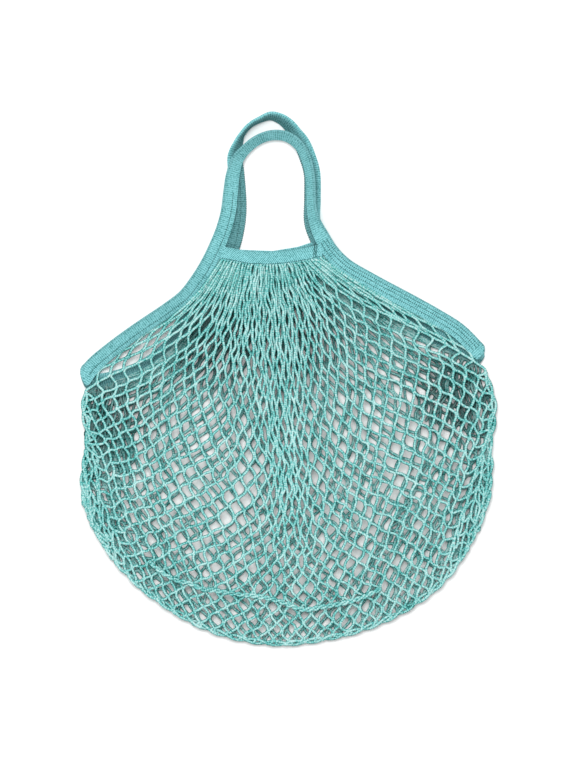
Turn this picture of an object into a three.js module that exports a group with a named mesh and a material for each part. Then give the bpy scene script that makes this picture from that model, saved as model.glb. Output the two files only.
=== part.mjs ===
// A string shopping bag of knitted cotton net, laid flat with its mouth towards +Y.
// X runs across the bag, Y from the bottom fold to the handles, and Z up from the
// surface that it lies on. Lengths are in millimetres.

import * as THREE from 'three';

// Driving dimensions of the plan.
const bandLength = 102; // gathered top edge, between the two legs of the handle
const leftWing = 135; // from the band's left end to the left edge of the net
const rightWing = 164; // from the band's right end to the right edge of the net
const netHeight = 365; // from the bottom fold to the lower edge of the band
const handleRise = 146; // from there to the middle of the tape at the top of the handles
const bandSag = 6; // how far the band hangs below its left end

// Driving dimensions of the pieces.
const tapeWidth = 15.6; // binding tape, folded over the edge of the net
const tapeThick = 2.6;
const bandWidth = 13;
const bandThick = 2.6;
const netThick = 2.6; // one knitted cord
const clearance = 0.3; // between pieces that are sewn together on the real bag
const seam = 0.6; // between the net and the tape that binds its edge

// Driving dimensions of the heights.
const mouthGap = 7; // hollow between the two bands
const foldGap = 2; // hollow at the side and bottom folds
const hollowRise = 9; // what the hollow gains towards its middle
const gatherDepth = 1.2; // ripples below the band
const bandFill = 0.8; // share of hollowRise that is left at the band

// The net is cut through in a grid of diamonds that are staggered from wall to wall.
const columns = 12;
const rows = 12;
const cornerRow = 5; // grid row at which the slopes end and the side folds start
const gapShare = 0.7; // how much of its diamond each gap takes
const rimSteps = 4; // straight steps in each stretch of the net's edge
const tapeSteps = 2; // sections for each row of a tape's table
const bandSteps = 12;
const gatherCount = 4; // ripples across the band
const nudge = 1e-3; // step, in grid units, that finds the way along the net's edge
const endSpan = 0.9; // share of a half band past which its slope counts as its end's

// In every table x is -2 at the net's left edge, -1 and 1 at the band's ends and 2 at the
// right edge. y is 0 at the bottom fold, 1 at the band's lower edge and 2 at the handles' top.
function placeX(x) {
  const wing = x < 0 ? leftWing : rightWing;
  const reach = Math.abs(x);
  return Math.sign(x) * (Math.min(reach, 1) * bandLength / 2 + Math.max(reach - 1, 0) * wing);
}

function placeY(y) {
  return Math.min(y, 1) * netHeight + Math.max(y - 1, 0) * handleRise;
}

// The two tapes, from the left corner over the handle to the right corner. tilt is in
// degrees, and below zero it lifts the outer edge. open is the share of mouthGap that the
// front tape stands above the back one, which lies on the surface.
const frontRoute = [
  { x: -1.97, y: 0.705, tilt: 0, open: 0 },
  { x: -1.91, y: 0.735, tilt: -8, open: 0.15 },
  { x: -1.81, y: 0.768, tilt: -22, open: 0.4 },
  { x: -1.61, y: 0.824, tilt: -30, open: 0.7 },
  { x: -1.37, y: 0.884, tilt: -30, open: 0.9 },
  { x: -1.25, y: 0.918, tilt: -28, open: 1 },
  { x: -1.16, y: 0.96, tilt: -24, open: 1 },
  { x: -1.09, y: 1, tilt: -15, open: 1 },
  { x: -1.02, y: 1.13, tilt: -10, open: 1 },
  { x: -0.92, y: 1.25, tilt: -18, open: 0.9 },
  { x: -0.84, y: 1.36, tilt: -22, open: 0.8 },
  { x: -0.8, y: 1.48, tilt: -25, open: 0.7 },
  { x: -0.76, y: 1.59, tilt: -30, open: 0.7 },
  { x: -0.68, y: 1.69, tilt: -40, open: 0.6 },
  { x: -0.53, y: 1.76, tilt: -50, open: 0.4 },
  { x: -0.28, y: 1.83, tilt: -50, open: 0.2 },
  { x: -0.02, y: 1.86, tilt: -48, open: 0.2 },
  { x: 0.26, y: 1.85, tilt: -48, open: 0.3 },
  { x: 0.49, y: 1.79, tilt: -50, open: 0.5 },
  { x: 0.63, y: 1.7, tilt: -50, open: 0.6 },
  { x: 0.7, y: 1.59, tilt: -50, open: 0.6 },
  { x: 0.72, y: 1.47, tilt: -50, open: 0.6 },
  { x: 0.73, y: 1.38, tilt: -48, open: 0.7 },
  { x: 0.79, y: 1.29, tilt: -40, open: 0.8 },
  { x: 0.92, y: 1.19, tilt: -25, open: 1 },
  { x: 1.03, y: 1.09, tilt: -12, open: 1 },
  { x: 1.11, y: 1, tilt: -5, open: 1 },
  { x: 1.26, y: 0.96, tilt: 0, open: 1 },
  { x: 1.51, y: 0.9, tilt: 0, open: 0.8 },
  { x: 1.65, y: 0.865, tilt: 0, open: 0.6 },
  { x: 1.78, y: 0.828, tilt: 0, open: 0.3 },
  { x: 1.91, y: 0.77, tilt: 0, open: 0 },
];

const backRoute = [
  { x: -1.97, y: 0.7, tilt: 0 },
  { x: -1.88, y: 0.695, tilt: 0 },
  { x: -1.76, y: 0.702, tilt: 0 },
  { x: -1.57, y: 0.728, tilt: 0 },
  { x: -1.39, y: 0.775, tilt: 0 },
  { x: -1.23, y: 0.855, tilt: 0 },
  { x: -1.05, y: 0.96, tilt: 0 },
  { x: -0.92, y: 1.03, tilt: 0 },
  { x: -0.76, y: 1.13, tilt: 0 },
  { x: -0.66, y: 1.25, tilt: 0 },
  { x: -0.62, y: 1.37, tilt: -5 },
  { x: -0.63, y: 1.5, tilt: -8 },
  { x: -0.68, y: 1.62, tilt: -8 },
  { x: -0.73, y: 1.72, tilt: -12 },
  { x: -0.67, y: 1.8, tilt: -50 },
  { x: -0.58, y: 1.87, tilt: -72 },
  { x: -0.43, y: 1.93, tilt: -76 },
  { x: -0.25, y: 1.97, tilt: -72 },
  { x: -0.04, y: 2, tilt: -60 },
  { x: 0.15, y: 1.98, tilt: -50 },
  { x: 0.3, y: 1.94, tilt: -40 },
  { x: 0.43, y: 1.88, tilt: -28 },
  { x: 0.55, y: 1.81, tilt: -14 },
  { x: 0.66, y: 1.72, tilt: -4 },
  { x: 0.74, y: 1.62, tilt: 0 },
  { x: 0.75, y: 1.45, tilt: 0 },
  { x: 0.75, y: 1.29, tilt: 0 },
  { x: 0.85, y: 1.19, tilt: 0 },
  { x: 1.01, y: 1.07, tilt: 0 },
  { x: 1.1, y: 0.98, tilt: 0 },
  { x: 1.26, y: 0.93, tilt: 0 },
  { x: 1.43, y: 0.88, tilt: 0 },
  { x: 1.66, y: 0.81, tilt: 0 },
  { x: 1.8, y: 0.778, tilt: 0 },
  { x: 1.91, y: 0.757, tilt: 0 },
];

// How the bands hang. x is in halves of the band, and rise is in shares of bandSag.
const frontDrape = [
  { x: -1, rise: 1 },
  { x: -0.75, rise: 0.62 },
  { x: -0.45, rise: 0.12 },
  { x: -0.1, rise: 0 },
  { x: 0.25, rise: 0.2 },
  { x: 0.58, rise: 0.65 },
  { x: 1, rise: 1.45 },
];

const backDrape = [
  { x: -1, rise: 0.9 },
  { x: -0.6, rise: 0.5 },
  { x: 0, rise: 0.3 },
  { x: 0.5, rise: 1 },
  { x: 1, rise: 2.4 },
];

// The folds that join the front wall to the back wall.
const leftFold = [
  { x: -1.965, y: 0.668 },
  { x: -1.985, y: 0.62 },
  { x: -1.96, y: 0.565 },
  { x: -1.96, y: 0.515 },
  { x: -1.985, y: 0.46 },
  { x: -1.985, y: 0.4 },
  { x: -1.93, y: 0.335 },
  { x: -1.82, y: 0.256 },
];

const bottomFold = [
  { x: -1.82, y: 0.256 },
  { x: -1.63, y: 0.17 },
  { x: -1.39, y: 0.1 },
  { x: -1.11, y: 0.042 },
  { x: -0.53, y: 0.01 },
  { x: 0.23, y: 0 },
  { x: 0.98, y: 0.013 },
  { x: 1.23, y: 0.04 },
  { x: 1.49, y: 0.095 },
  { x: 1.71, y: 0.174 },
  { x: 1.85, y: 0.269 },
];

const rightFold = [
  { x: 1.94, y: 0.725 },
  { x: 1.965, y: 0.69 },
  { x: 1.995, y: 0.64 },
  { x: 1.99, y: 0.58 },
  { x: 1.97, y: 0.53 },
  { x: 1.975, y: 0.46 },
  { x: 1.94, y: 0.36 },
  { x: 1.85, y: 0.269 },
];

// Soft ridges and dents of the front wall. across and along are the place and spread the
// size, in shares of the wall, and lift is in shares of hollowRise.
const dents = [
  { across: 0.12, along: 0.5, spread: 0.1, lift: 0.2 },
  { across: 0.3, along: 0.35, spread: 0.12, lift: -0.08 },
  { across: 0.5, along: 0.6, spread: 0.16, lift: 0.1 },
  { across: 0.72, along: 0.4, spread: 0.12, lift: -0.08 },
  { across: 0.88, along: 0.52, spread: 0.1, lift: 0.2 },
  { across: 0.6, along: 0.86, spread: 0.1, lift: -0.08 },
];

// Rounded section of a folded tape, in halves of its width and thickness.
const tapeSection = [
  { across: 1, up: 0.4 },
  { across: 0.93, up: 1 },
  { across: -0.93, up: 1 },
  { across: -1, up: 0.4 },
  { across: -1, up: -0.4 },
  { across: -0.93, up: -1 },
  { across: 0.93, up: -1 },
  { across: 1, up: -0.4 },
];

const up = new THREE.Vector3(0, 0, 1);

function spot(row) {
  return new THREE.Vector3(placeX(row.x), placeY(row.y), 0);
}

// A column of a table, read between its rows at a share of the table's length.
function between(table, column, share) {
  const place = share * (table.length - 1);
  const row = Math.min(Math.floor(place), table.length - 2);
  return THREE.MathUtils.lerp(table[row][column], table[row + 1][column], place - row);
}

// A column of a table, read at a value of its x column.
function readAt(table, column, x) {
  const row = Math.max(table.findIndex((entry) => entry.x >= x), 1);
  const share = (x - table[row - 1].x) / (table[row].x - table[row - 1].x);
  return THREE.MathUtils.lerp(table[row - 1][column], table[row][column], share);
}

// One cross-section of a strip: its middle, and the ways across it and up from it.
function sectionAt(centre, along, tilt, width, thick) {
  const inner = along.clone().cross(up).normalize();
  const across = inner.clone().multiplyScalar(Math.cos(tilt)).addScaledVector(up, Math.sin(tilt));
  const normal = up.clone().multiplyScalar(Math.cos(tilt)).addScaledVector(inner, -Math.sin(tilt));
  const halfPlan = (width * Math.abs(Math.cos(tilt)) + thick * Math.abs(Math.sin(tilt))) / 2;
  const innerZ = centre.z + Math.sin(tilt) * width / 2;
  const rim = centre.clone().addScaledVector(inner, halfPlan + seam).setZ(innerZ);
  return { centre, across, normal, rim, width, thick };
}

// Sections of a tape along one of the two routes, its lower edge at the height given by baseAt.
function layTape(route, baseAt) {
  const line = new THREE.CatmullRomCurve3(route.map(spot));
  const count = (route.length - 1) * tapeSteps;
  const sections = [];
  for (let step = 0; step <= count; step += 1) {
    const share = step / count;
    const tilt = THREE.MathUtils.degToRad(between(route, 'tilt', share));
    const rise = (tapeWidth * Math.abs(Math.sin(tilt)) + tapeThick * Math.cos(tilt)) / 2;
    const centre = line.getPoint(share).setZ(baseAt(share) + rise);
    sections.push(sectionAt(centre, line.getTangent(share), tilt, tapeWidth, tapeThick));
  }
  return sections;
}

// Where the seam along the inner edge of a tape's leg reaches a height, on one side.
function legEdge(tape, side, height) {
  const seamLine = tape.map((section) => section.rim).filter((rim) => Math.sign(rim.x) === side);
  const upward = side < 0 ? seamLine : seamLine.reverse();
  const above = upward.findIndex((rim) => rim.y > height);
  const share = (height - upward[above - 1].y) / (upward[above].y - upward[above - 1].y);
  return THREE.MathUtils.lerp(upward[above - 1].x, upward[above].x, share);
}

// Sections of a band that hangs between the legs of a tape, its lowest face at base. Its ends
// rise outwards, so each is moved on until its upper corner stands at the seam.
function layBand(drape, tape, base) {
  const heightAt = (x) => netHeight + bandWidth / 2 + bandSag * readAt(drape, 'rise', x);
  const ends = [-1, 1].map((side) => {
    const climb = (heightAt(side) - heightAt(side * endSpan)) / ((1 - endSpan) * bandLength / 2);
    const lean = Math.sin(Math.atan(climb)) * bandWidth / 2;
    return legEdge(tape, side, heightAt(side) + bandWidth / 2) + side * lean;
  });
  const points = [];
  for (let step = 0; step <= bandSteps; step += 1) {
    const x = THREE.MathUtils.lerp(ends[0], ends[1], step / bandSteps);
    const share = THREE.MathUtils.clamp(x / (bandLength / 2), -1, 1);
    points.push(new THREE.Vector3(x, heightAt(share), base + bandThick / 2));
  }
  const line = new THREE.CatmullRomCurve3(points);
  return points.map((point, step) => {
    return sectionAt(point, line.getTangent(step / bandSteps), 0, bandWidth, bandThick);
  });
}

function geometryOf(points, faces) {
  const geometry = new THREE.BufferGeometry();
  const numbers = points.flatMap((point) => [point.x, point.y, point.z]);
  geometry.setAttribute('position', new THREE.Float32BufferAttribute(numbers, 3));
  geometry.setIndex(faces);
  geometry.computeVertexNormals();
  return geometry;
}

// A closed strip through cross-sections.
function sweep(sections) {
  const sides = tapeSection.length;
  const points = sections.flatMap((section) => tapeSection.map((corner) => section.centre.clone()
    .addScaledVector(section.across, corner.across * section.width / 2)
    .addScaledVector(section.normal, corner.up * section.thick / 2)));
  const faces = [];
  for (let step = 0; step < sections.length - 1; step += 1) {
    for (let side = 0; side < sides; side += 1) {
      const here = step * sides + side;
      const beside = step * sides + (side + 1) % sides;
      faces.push(here, here + sides, beside + sides, here, beside + sides, beside);
    }
  }
  const last = (sections.length - 1) * sides;
  for (let side = 1; side < sides - 1; side += 1) {
    faces.push(0, side, side + 1);
    faces.push(last, last + side + 1, last + side);
  }
  return geometryOf(points, faces);
}

// A smooth curve through points, read by a share of its length.
function smooth(points) {
  const curve = new THREE.CatmullRomCurve3(points);
  return (share) => curve.getPointAt(THREE.MathUtils.clamp(share, 0, 1));
}

// One side of a wall: the tape's edge down to the corner, and then the side fold.
function sideOf(tape, fold, side, top, foldZ) {
  const seamLine = tape.map((section) => section.rim)
    .filter((rim) => Math.sign(rim.x) === side && rim.y < top.y - seam);
  const slope = side < 0 ? seamLine.reverse() : seamLine;
  const foldPoints = fold.map((row) => spot(row).setZ(foldZ));
  const upper = smooth([top, ...slope, foldPoints[0]]);
  const lower = smooth(foldPoints);
  const corner = cornerRow / rows;
  return (share) => (share < corner ? upper(share / corner) : lower((share - corner) / (1 - corner)));
}

// A wall of the net, filled in between its four edges. across runs from the left edge to
// the right one, and along from the band to the bottom fold.
function wallBetween(tape, band, foldZ, shape) {
  const top = smooth(band.map((section) => section.rim));
  const left = sideOf(tape, leftFold, -1, top(0), foldZ);
  const right = sideOf(tape, rightFold, 1, top(1), foldZ);
  const bottom = smooth(bottomFold.map((row) => spot(row).setZ(foldZ)));
  return (across, along) => {
    const point = left(along).multiplyScalar(1 - across).addScaledVector(right(along), across)
      .addScaledVector(top(across), 1 - along).addScaledVector(bottom(across), along)
      .addScaledVector(top(0), -(1 - across) * (1 - along)).addScaledVector(top(1), -across * (1 - along))
      .addScaledVector(bottom(0), -(1 - across) * along).addScaledVector(bottom(1), -across * along);
    point.z = shape(point.z, across, along);
    return point;
  };
}

// Zero at both ends of a wall and one over most of it.
function plateau(share) {
  return 1 - (2 * share - 1) ** 4;
}

function frontShape(z, across, along) {
  const cover = plateau(across) * plateau(along) * THREE.MathUtils.lerp(bandFill, 1, along);
  const ripple = Math.cos(2 * Math.PI * gatherCount * across) * (1 - along) ** 2;
  const bumps = dents.reduce((sum, dent) => {
    const away = Math.hypot(across - dent.across, along - dent.along) / dent.spread;
    return sum + dent.lift * Math.exp(-(away ** 2));
  }, 0);
  return z + cover * (hollowRise * (1 + bumps) + gatherDepth * ripple);
}

// The whole net: two walls of one thickness with staggered gaps, open at the mouth and
// joined along the side and bottom folds.
function netGeometry(frontWall, backWall) {
  const points = [];
  const faces = [];
  const known = new Map();

  // Skins of the two walls, each with its wall and the way that it lies from the middle.
  const skins = {
    frontOuter: { wall: frontWall, way: 1, inset: 0 },
    frontInner: { wall: frontWall, way: -1, inset: netThick },
    backInner: { wall: backWall, way: 1, inset: netThick },
    backOuter: { wall: backWall, way: -1, inset: 0 },
  };

  // The way in from a fold, towards the middle of the net.
  function inward(column, row) {
    const step = row < rows ? [0, nudge] : [nudge, 0];
    const at = (way) => frontWall((column + way * step[0]) / columns, (row + way * step[1]) / rows);
    const run = at(1).sub(at(-1)).setZ(0).normalize();
    const side = new THREE.Vector3(-run.y, run.x, 0);
    const middle = frontWall(0.5, 0.5).sub(at(0)).setZ(0);
    return side.multiplyScalar(Math.sign(side.dot(middle)));
  }

  function onFold(column, row) {
    const atSide = column === 0 || column === columns;
    return row === rows || (atSide && row >= cornerRow);
  }

  function vertex(name, column, row) {
    const key = [name, column.toFixed(3), row.toFixed(3)].join();
    if (!known.has(key)) {
      const skin = skins[name];
      const point = skin.wall(column / columns, row / rows);
      point.z += skin.way * netThick / 2;
      if (onFold(column, row)) {
        point.addScaledVector(inward(column, row), skin.inset);
      }
      known.set(key, points.length);
      points.push(point);
    }
    return known.get(key);
  }

  // A face, given by its corners anticlockwise as seen from its outer side.
  function face(corners) {
    for (let corner = 1; corner < corners.length - 1; corner += 1) {
      faces.push(corners[0], corners[corner], corners[corner + 1]);
    }
  }

  // The same patch of a wall in its upper skin and, turned over, in its lower skin.
  function patch(upper, lower, spots) {
    face(spots.map(([column, row]) => vertex(upper, column, row)));
    face(spots.map(([column, row]) => vertex(lower, column, row)).reverse());
  }

  function midway(one, other, share) {
    return [one[0] + (other[0] - one[0]) * share, one[1] + (other[1] - one[1]) * share];
  }

  function isEdge(one, other) {
    const sameColumn = one[0] === other[0] && (one[0] === 0 || one[0] === columns);
    const sameRow = one[1] === other[1] && (one[1] === 0 || one[1] === rows);
    return sameColumn || sameRow;
  }

  // The spots from one to another, with extra steps along the net's edge.
  function steps(one, other) {
    const count = isEdge(one, other) ? rimSteps : 1;
    return Array.from({ length: count + 1 }, (_, step) => midway(one, other, step / count));
  }

  // A diamond with its gap cut through.
  function ring(upper, lower, centre, corners) {
    corners.forEach((corner, side) => {
      const next = corners[(side + 1) % corners.length];
      for (const start of [0, 0.5]) {
        const outer = [midway(corner, next, start), midway(corner, next, start + 0.5)];
        const inner = outer.map((place) => midway(centre, place, gapShare));
        patch(upper, lower, [outer[0], outer[1], inner[1], inner[0]]);
        face([vertex(upper, ...inner[0]), vertex(upper, ...inner[1]),
          vertex(lower, ...inner[1]), vertex(lower, ...inner[0])]);
      }
    });
  }

  // A quarter of a diamond at the net's edge, without a gap.
  function quarter(upper, lower, centre, corner, next) {
    const middle = midway(corner, next, 0.5);
    const chain = [...steps(next, centre), ...steps(centre, corner).slice(1)];
    for (let step = 0; step < chain.length - 1; step += 1) {
      patch(upper, lower, [middle, chain[step], chain[step + 1]]);
    }
  }

  function sheet(upper, lower, stagger) {
    for (let column = 0; column <= columns; column += 1) {
      for (let row = 0; row <= rows; row += 1) {
        if ((column + row) % 2 !== stagger) continue;
        const corners = [[column + 1, row], [column, row - 1], [column - 1, row], [column, row + 1]];
        const inside = ([x, y]) => x >= 0 && x <= columns && y >= 0 && y <= rows;
        if (corners.every(inside)) {
          ring(upper, lower, [column, row], corners);
          continue;
        }
        corners.forEach((corner, side) => {
          const next = corners[(side + 1) % corners.length];
          if (inside(corner) && inside(next)) quarter(upper, lower, [column, row], corner, next);
        });
      }
    }
  }

  sheet('frontOuter', 'frontInner', 1);
  sheet('backInner', 'backOuter', 0);

  // The edge of the net, anticlockwise from the right end of the band.
  const turns = [[columns, 0], [0, 0], [0, rows], [columns, rows], [columns, 0]];
  const edge = [];
  for (let side = 0; side < turns.length - 1; side += 1) {
    const [start, end] = [turns[side], turns[side + 1]];
    const count = Math.hypot(end[0] - start[0], end[1] - start[1]) * rimSteps;
    for (let step = 0; step < count; step += 1) {
      edge.push(midway(start, end, step / count));
    }
  }
  edge.forEach((start, step) => {
    const end = edge[(step + 1) % edge.length];
    const at = (name, place) => vertex(name, ...place);
    if (onFold(...start) && onFold(...end)) {
      face([at('frontOuter', end), at('frontOuter', start), at('backOuter', start), at('backOuter', end)]);
      face([at('frontInner', start), at('frontInner', end), at('backInner', end), at('backInner', start)]);
    } else {
      face([at('frontOuter', end), at('frontOuter', start), at('frontInner', start), at('frontInner', end)]);
      face([at('backInner', end), at('backInner', start), at('backOuter', start), at('backOuter', end)]);
    }
  });

  // The two ends of the folds, where the mouth starts.
  const loop = (names, place) => face(names.map((name) => vertex(name, ...place)));
  loop(['frontInner', 'backInner', 'backOuter', 'frontOuter'], [0, cornerRow]);
  loop(['frontOuter', 'backOuter', 'backInner', 'frontInner'], [columns, cornerRow]);

  return geometryOf(points, faces);
}

function piece(name, geometry, color, roughness) {
  const material = new THREE.MeshStandardMaterial({ color, roughness, metalness: 0 });
  const mesh = new THREE.Mesh(geometry, material);
  mesh.name = name;
  return mesh;
}

const frontBase = tapeThick + clearance; // the front tape lies across the back one
const backMiddle = netThick / 2;
const frontMiddle = backMiddle + netThick + foldGap; // of the front wall at the folds
const frontTape = layTape(frontRoute, (share) => frontBase + between(frontRoute, 'open', share) * mouthGap);
const backTape = layTape(backRoute, () => 0);
const frontBand = layBand(frontDrape, frontTape, frontBase + mouthGap);
const backBand = layBand(backDrape, backTape, 0);
const frontWall = wallBetween(frontTape, frontBand, frontMiddle, frontShape);
const backWall = wallBetween(backTape, backBand, backMiddle, () => backMiddle);

const bag = new THREE.Group();
bag.add(piece('net_body', netGeometry(frontWall, backWall), 0x85bab7, 0.9));
bag.add(piece('front_handle_binding', sweep(frontTape), 0x84c4c7, 0.85));
bag.add(piece('back_handle_binding', sweep(backTape), 0x5fa3a3, 0.85));
bag.add(piece('front_top_band', sweep(frontBand), 0x7ec9cd, 0.85));
bag.add(piece('back_top_band', sweep(backBand), 0x5fa3a3, 0.85));

// The reference point is the middle of the bag's box, on the surface that it lies on.
const size = new THREE.Box3().setFromObject(bag);
const middle = size.getCenter(new THREE.Vector3());
bag.position.set(-middle.x, -middle.y, -size.min.z);

export default bag;
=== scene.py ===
"""A string shopping bag of knitted cotton net, laid flat and seen from straight above."""

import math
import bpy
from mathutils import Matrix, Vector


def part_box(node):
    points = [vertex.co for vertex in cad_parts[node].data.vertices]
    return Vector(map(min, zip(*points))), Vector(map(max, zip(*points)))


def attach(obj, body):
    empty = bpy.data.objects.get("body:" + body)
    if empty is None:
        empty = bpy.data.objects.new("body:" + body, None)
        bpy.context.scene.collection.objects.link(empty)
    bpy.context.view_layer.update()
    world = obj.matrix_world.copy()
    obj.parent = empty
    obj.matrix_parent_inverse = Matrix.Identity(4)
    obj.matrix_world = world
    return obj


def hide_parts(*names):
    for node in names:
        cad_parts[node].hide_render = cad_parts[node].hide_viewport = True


bl_info = {
    "name": "String shopping bag",
    "version": (1, 0, 0),
    "blender": (4, 5, 0),
    "location": "View3D > Sidebar > String bag",
    "description": "Makes the net, tapes, bands and stitches of a string bag around its packed model",
    "category": "Object",
}

import bpy
import numpy as np
from bpy.props import FloatProperty, FloatVectorProperty, IntProperty, PointerProperty
from numpy.linalg import norm

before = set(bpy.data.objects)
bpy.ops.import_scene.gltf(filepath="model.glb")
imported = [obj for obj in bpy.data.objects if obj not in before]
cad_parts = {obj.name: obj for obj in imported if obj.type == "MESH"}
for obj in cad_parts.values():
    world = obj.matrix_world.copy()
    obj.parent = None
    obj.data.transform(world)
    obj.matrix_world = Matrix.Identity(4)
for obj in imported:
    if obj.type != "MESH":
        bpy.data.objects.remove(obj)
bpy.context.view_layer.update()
MM = 0.001
SEED = 7

# Plan of the bag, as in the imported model: the same driving sizes and shares, in metres.
BAND_LENGTH = 102 * MM
LEFT_WING = 135 * MM
RIGHT_WING = 164 * MM
NET_HEIGHT = 365 * MM
HANDLE_RISE = 146 * MM
BAND_SAG = 6 * MM
TAPE_WIDTH = 15.6 * MM
TAPE_THICK = 2.6 * MM
BAND_WIDTH = 13 * MM
NET_THICK = 2.6 * MM
MOUTH_GAP = 7 * MM
FOLD_GAP = 2 * MM
HOLLOW_RISE = 9 * MM
CLEARANCE = 0.3 * MM
SEAM = 0.6 * MM

# The photo: its size in pixels, and the pixel that shows the band's middle over the bottom fold.
PHOTO_WIDTH, PHOTO_HEIGHT = 576, 768
MIDDLE_COLUMN, FOLD_ROW = 273, 645

# The stage: the floor's reach and how far it lies under the bag, the lamp and the camera.
FLOOR_REACH = 3.0
FLOOR_DROP = 0.3 * MM
LAMP_SIZE = 1.0
LAMP_PLACE = (-0.2, 0.6, 1.9)
LAMP_TURN = (-0.3, -0.1, 0)
FILM_HEIGHT = 36  # height of the camera's film in mm
FOCUS_HEIGHT = 8 * MM  # height over the floor at which one pixel covers the given length

CORD_PIECES = 4  # pieces that share the net's cords
CORD_GROOVE = 0.86  # radius of a cord in its grooves, in shares of its radius
CORD_LAY = 150  # metres of cord to one twist, so that it lies almost straight
STITCH_SIZE = (0.85 * MM, 0.46 * MM, 0.34 * MM)
STITCH_PROUD = 0.2 * MM
FRONT_LOOSE, BACK_LOOSE = 4 * MM, 8 * MM  # how far the two walls' knots are pushed about

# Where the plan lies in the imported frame: the net's box gives its bottom and left edges.
NET_LEFT_SHARE = -1.99
NET_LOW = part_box("net_body")[0]
ORIGIN_Y = NET_LOW[1]
ORIGIN_X = NET_LOW[0] + BAND_LENGTH / 2 + (-NET_LEFT_SHARE - 1) * LEFT_WING


def place_x(x):
    """x runs from -2 at the net's left edge over -1 and 1 at the band's ends to 2."""
    x = np.asarray(x, float)
    reach = np.abs(x)
    wing = np.where(x < 0, LEFT_WING, RIGHT_WING)
    out = np.minimum(reach, 1) * BAND_LENGTH / 2 + np.maximum(reach - 1, 0) * wing
    return ORIGIN_X + np.sign(x) * out


def place_y(y):
    """y is 0 at the bottom fold, 1 at the band's lower edge and 2 at the handles' top."""
    y = np.asarray(y, float)
    return ORIGIN_Y + np.minimum(y, 1) * NET_HEIGHT + np.maximum(y - 1, 0) * HANDLE_RISE


# The two tapes from the left corner over the handle to the right corner: x, y, tilt in degrees
# (below zero lifts the outer edge) and open, the share of MOUTH_GAP above the back tape.
FRONT_ROUTE = (
    (-1.97, 0.705, 0, 0), (-1.91, 0.735, -8, 0.15), (-1.81, 0.768, -24, 0.4),
    (-1.61, 0.824, -33, 0.7), (-1.37, 0.884, -34, 0.9), (-1.25, 0.918, -33, 1),
    (-1.16, 0.96, -31, 1), (-1.09, 1, -24, 1), (-1.02, 1.13, -20, 1), (-0.92, 1.25, -25, 0.9),
    (-0.84, 1.36, -28, 0.8), (-0.8, 1.48, -31, 0.7), (-0.76, 1.59, -38, 0.7),
    (-0.68, 1.69, -50, 0.6), (-0.53, 1.76, -61, 0.4), (-0.28, 1.83, -63, 0.2),
    (-0.02, 1.86, -63, 0.2), (0.26, 1.85, -62, 0.3), (0.49, 1.79, -62, 0.5), (0.63, 1.7, -62, 0.6),
    (0.7, 1.59, -62, 0.6), (0.72, 1.47, -62, 0.6), (0.73, 1.38, -60, 0.7), (0.79, 1.29, -50, 0.8),
    (0.92, 1.19, -25, 1), (1.03, 1.09, -12, 1), (1.11, 1, -5, 1), (1.26, 0.96, 0, 1),
    (1.51, 0.9, 0, 0.8), (1.65, 0.865, 0, 0.6), (1.78, 0.828, 0, 0.3), (1.91, 0.77, 0, 0),
)
BACK_ROUTE = (
    (-1.97, 0.7, 0, 0), (-1.88, 0.695, 0, 0), (-1.76, 0.702, 0, 0), (-1.57, 0.728, 0, 0),
    (-1.39, 0.775, 0, 0), (-1.23, 0.855, 0, 0), (-1.05, 0.96, 0, 0), (-0.94, 1.03, 0, 0),
    (-0.79, 1.13, -6, 0), (-0.7, 1.25, -12, 0), (-0.66, 1.37, -14, 0), (-0.67, 1.5, -16, 0),
    (-0.7, 1.62, -16, 0), (-0.72, 1.72, -26, 0), (-0.665, 1.8, -60, 0), (-0.58, 1.87, -80, 0),
    (-0.43, 1.93, -83, 0), (-0.25, 1.965, -80, 0), (-0.04, 1.99, -70, 0), (0.15, 1.97, -60, 0),
    (0.3, 1.93, -50, 0), (0.43, 1.87, -38, 0), (0.55, 1.81, -14, 0), (0.66, 1.72, -4, 0),
    (0.74, 1.62, 0, 0), (0.75, 1.45, 0, 0), (0.75, 1.29, 0, 0), (0.85, 1.19, 0, 0),
    (1.01, 1.07, 0, 0), (1.1, 0.98, 0, 0), (1.26, 0.93, 0, 0), (1.43, 0.88, 0, 0),
    (1.66, 0.81, 0, 0), (1.8, 0.778, 0, 0), (1.91, 0.757, 0, 0),
)

# How the bands hang: x in halves of the band, and the rise in shares of BAND_SAG.
FRONT_DRAPE = ((-1, 1), (-0.75, 0.62), (-0.45, 0.12), (-0.1, 0), (0.25, 0.2), (0.58, 0.65), (1, 1.45))
BACK_DRAPE = ((-1, 0.9), (-0.6, 0.5), (0, 0.3), (0.5, 1), (1, 2.4))

# The folds that join the two walls of the net, x and y in shares of the plan.
LEFT_FOLD = (
    (-1.965, 0.668), (-1.985, 0.62), (-1.96, 0.565), (-1.96, 0.515), (-1.985, 0.46), (-1.985, 0.4),
    (-1.93, 0.335), (-1.82, 0.256),
)
BOTTOM_FOLD = (
    (-1.82, 0.256), (-1.63, 0.17), (-1.39, 0.1), (-1.11, 0.042), (-0.53, 0.01), (0.23, 0),
    (0.98, 0.013), (1.23, 0.04), (1.49, 0.095), (1.71, 0.174), (1.85, 0.269),
)
RIGHT_FOLD = (
    (1.94, 0.725), (1.965, 0.69), (1.995, 0.64), (1.99, 0.58), (1.97, 0.53), (1.975, 0.46),
    (1.94, 0.36), (1.85, 0.269),
)


def length_property(name, description, default):
    """A length to set in Blender."""
    return FloatProperty(name=name, description=description, default=default, unit="LENGTH")


def colour_property(name, description, default):
    """A colour to set in Blender."""
    return FloatVectorProperty(name=name, description=description, default=default, subtype="COLOR")


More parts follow.
